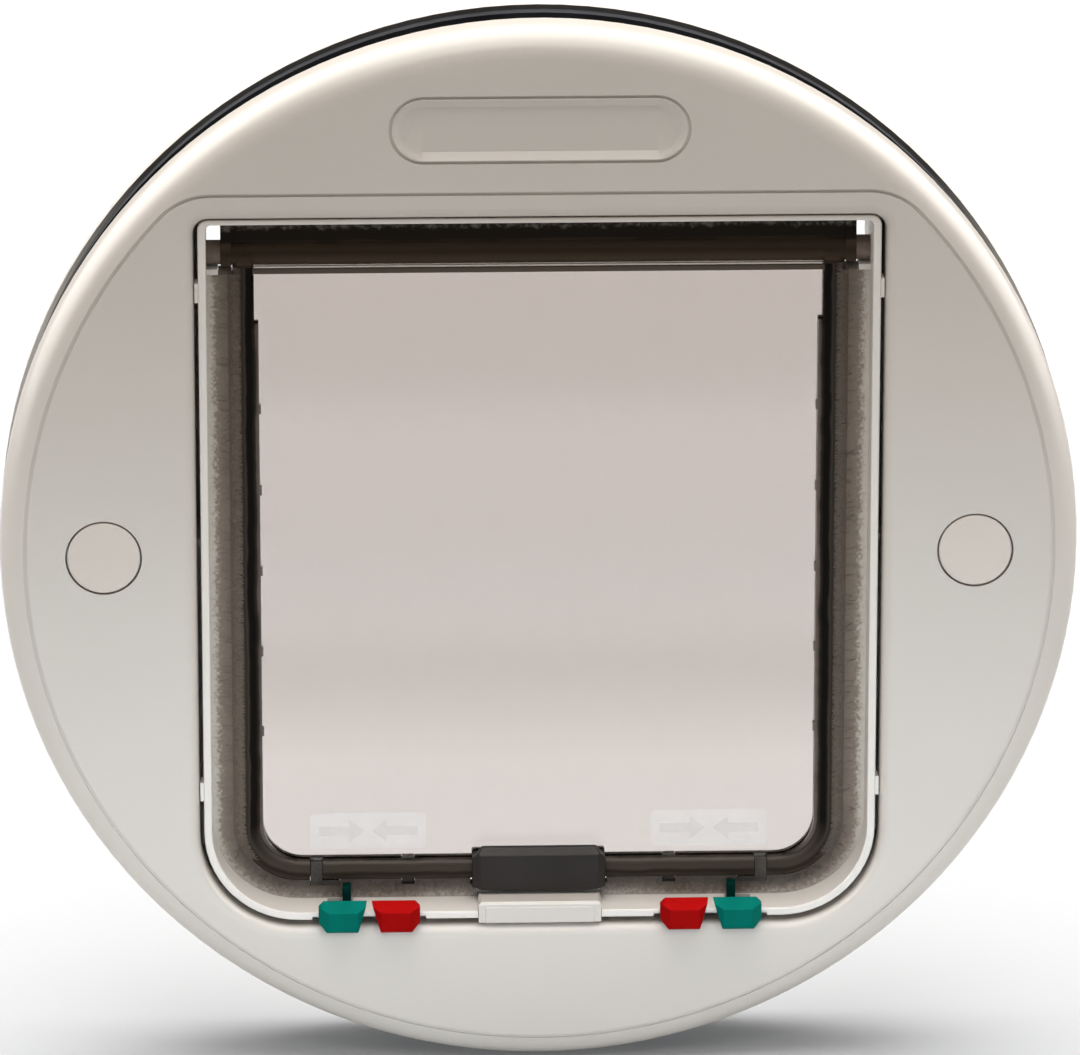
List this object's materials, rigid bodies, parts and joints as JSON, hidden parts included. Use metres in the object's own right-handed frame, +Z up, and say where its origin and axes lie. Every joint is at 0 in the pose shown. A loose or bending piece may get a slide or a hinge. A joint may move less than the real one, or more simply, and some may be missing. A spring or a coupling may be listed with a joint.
{
  "type": "cat flap",
  "caption": "Round cat flap for a hole in a glass pane: clamped off-white frames, smoky clear swinging flap, pile seal, magnet block and coloured sliding locks.",
  "frame": {"origin": "centre of the front gasket's clamp face, on the axis of the round pane hole", "axes": "+Z up, +Y from the room side out through the pane, +X to the right as seen from the room"},
  "size_m": [0.28, 0.0418, 0.28],
  "materials": {
    "frame_plastic": "satin moulded",
    "gasket_foam": "matt foam",
    "flap_smoke": "clear smoky moulding",
    "holder_plastic": "dark satin",
    "magnet_ferrite": "sintered",
    "catch_plastic": "pale translucent",
    "lock_green": "satin",
    "lock_red": "satin",
    "retainer_plastic": "satin moulded",
    "pile_fabric": "brushed pile",
    "screw_steel": "plated"
  },
  "bodies": {
    "frame": {"front_frame": "frame_plastic", "rear_frame": "frame_plastic", "front_gasket": "gasket_foam", "rear_gasket": "gasket_foam", "sill_magnet_cover": "frame_plastic", "sill_magnet": "magnet_ferrite", "lock_retainer_left": "retainer_plastic", "brush_left": "pile_fabric", "clamp_screw_left": "screw_steel", "screw_cap_left": "frame_plastic", "lock_retainer_right": "retainer_plastic", "brush_right": "pile_fabric", "clamp_screw_right": "screw_steel", "screw_cap_right": "frame_plastic"},
    "swinging_flap": {"flap": "flap_smoke", "flap_magnet_holder": "holder_plastic", "flap_magnet": "magnet_ferrite", "green_catch_left": "catch_plastic", "green_catch_right": "catch_plastic", "red_catch_left": "catch_plastic", "red_catch_right": "catch_plastic"},
    "green_left_slide": {"green_lock_left": "lock_green"},
    "green_right_slide": {"green_lock_right": "lock_green"},
    "red_left_slide": {"red_lock_left": "lock_red"},
    "red_right_slide": {"red_lock_right": "lock_red"}
  },
  "joints": [
    {"name": "flap_swing", "type": "hinge", "parent": "frame", "child": "swinging_flap", "pos_m": [0, -0.0015, 0.0778], "axis": [1, 0, 0], "range_deg": [-90, 90]},
    {"name": "green_lock_left_slide", "type": "slide", "parent": "frame", "child": "green_left_slide", "axis": [-1, 0, 0], "range_m": [0, 0.0035]},
    {"name": "green_lock_right_slide", "type": "slide", "parent": "frame", "child": "green_right_slide", "axis": [1, 0, 0], "range_m": [0, 0.0035]},
    {"name": "red_lock_left_slide", "type": "slide", "parent": "frame", "child": "red_left_slide", "axis": [1, 0, 0], "range_m": [0, 0.0035]},
    {"name": "red_lock_right_slide", "type": "slide", "parent": "frame", "child": "red_right_slide", "axis": [-1, 0, 0], "range_m": [0, 0.0035]}
  ]
}
